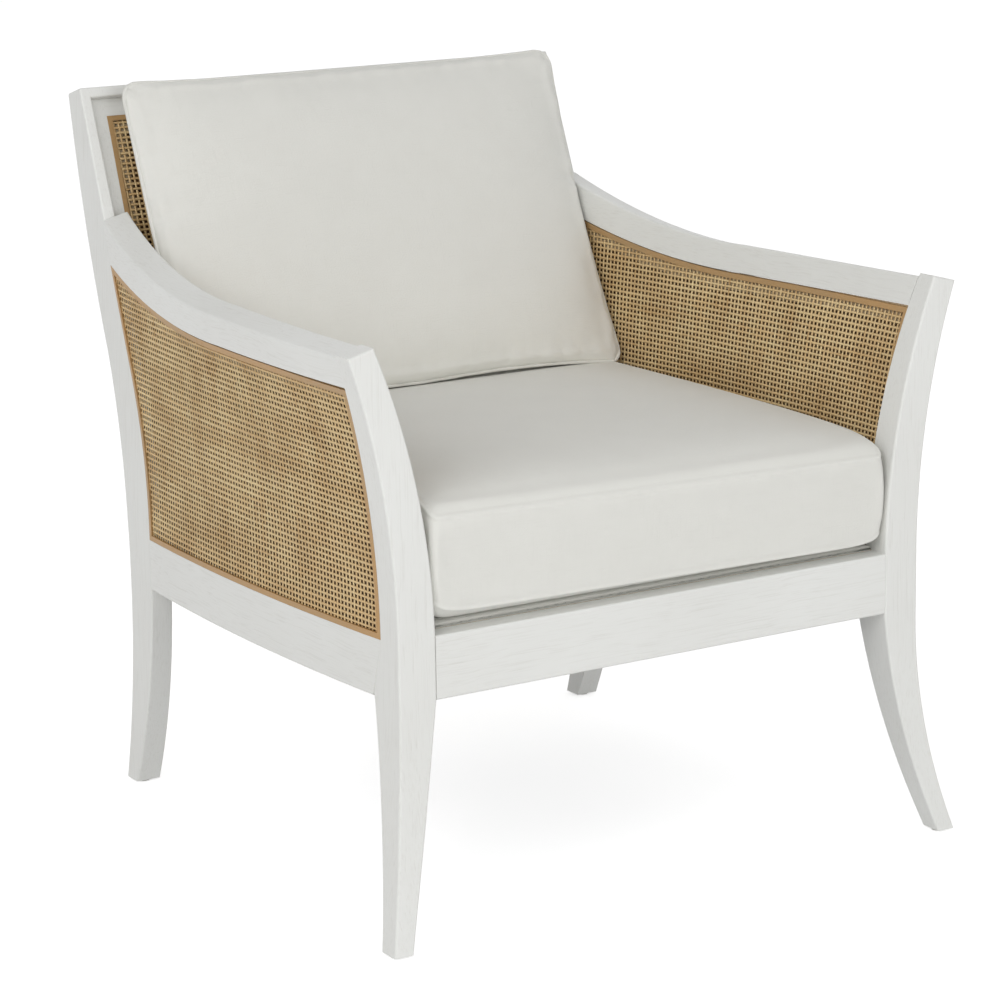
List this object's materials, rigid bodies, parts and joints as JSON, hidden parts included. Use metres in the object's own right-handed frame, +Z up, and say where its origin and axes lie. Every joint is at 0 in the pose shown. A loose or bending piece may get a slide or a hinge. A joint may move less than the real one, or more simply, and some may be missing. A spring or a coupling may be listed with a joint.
{
  "type": "armchair",
  "caption": "Low accent armchair with an off-white painted wooden frame, flared arms and feet, double cane sides, a cane back, a loose box seat cushion and a back pillow",
  "frame": {"origin": "on the floor, under the middle of the chair's bounding box", "axes": "+Z up, the chair faces -Y, +X is to the right when looking along +Y from the front"},
  "size_m": [0.7808, 0.8031, 0.8245],
  "materials": {
    "painted_wood": "off-white paint over wood with a faint vertical brushed grain, satin",
    "woven_cane": "close square-woven natural cane, tan with honey and brown strands",
    "cane_spline": "natural cane spline, tan",
    "bare_wood": "bare planed softwood",
    "brown_board": "thin dark brown hardboard",
    "elastic_webbing": "black elastic upholstery webbing",
    "dark_cloth": "black non-woven upholstery cloth",
    "nylon": "dark moulded nylon",
    "linen_cover": "off-white plain-woven linen, matte"
  },
  "bodies": {
    "frame": {"front_leg_left": "painted_wood", "front_leg_right": "painted_wood", "rear_leg_left": "painted_wood", "rear_leg_right": "painted_wood", "front_seat_rail": "painted_wood", "rear_seat_rail": "painted_wood", "side_seat_rail_left": "painted_wood", "side_seat_rail_right": "painted_wood", "arm_rail_left": "painted_wood", "arm_rail_right": "painted_wood", "crest_rail": "painted_wood", "lower_back_rail": "painted_wood", "side_cane_outer_left": "woven_cane", "side_cane_outer_right": "woven_cane", "side_cane_inner_left": "woven_cane", "side_cane_inner_right": "woven_cane", "back_cane_front": "woven_cane", "back_cane_rear": "woven_cane", "side_spline_outer_left": "cane_spline", "side_spline_outer_right": "cane_spline", "side_spline_inner_left": "cane_spline", "side_spline_inner_right": "cane_spline", "back_spline_front": "cane_spline", "back_spline_rear": "cane_spline", "ledger_strip_front": "bare_wood", "ledger_strip_rear": "bare_wood", "ledger_strip_left": "bare_wood", "ledger_strip_right": "bare_wood", "corner_block_front_left": "bare_wood", "corner_block_front_right": "bare_wood", "corner_block_rear_left": "bare_wood", "corner_block_rear_right": "bare_wood", "cane_cleat_left": "bare_wood", "cane_cleat_right": "bare_wood", "back_cleat_left": "bare_wood", "back_cleat_right": "bare_wood", "back_cleat_top": "bare_wood", "side_lining_board_left": "brown_board", "side_lining_board_right": "brown_board", "back_lining_board": "brown_board", "webbing_front_to_back": "elastic_webbing", "webbing_side_to_side": "elastic_webbing", "deck_cloth": "dark_cloth", "dust_cover": "dark_cloth", "foot_glides": "nylon"},
    "seat_cushion_body": {"seat_cushion": "linen_cover"},
    "back_cushion_body": {"back_cushion": "linen_cover"}
  },
  "joints": [
    {"name": "seat_cushion_lift", "type": "slide", "parent": "frame", "child": "seat_cushion_body", "axis": [0, 0, 1], "range_m": [0, 0.3]},
    {"name": "back_cushion_lift", "type": "slide", "parent": "seat_cushion_body", "child": "back_cushion_body", "axis": [0, 0, 1], "range_m": [0, 0.35]}
  ]
}
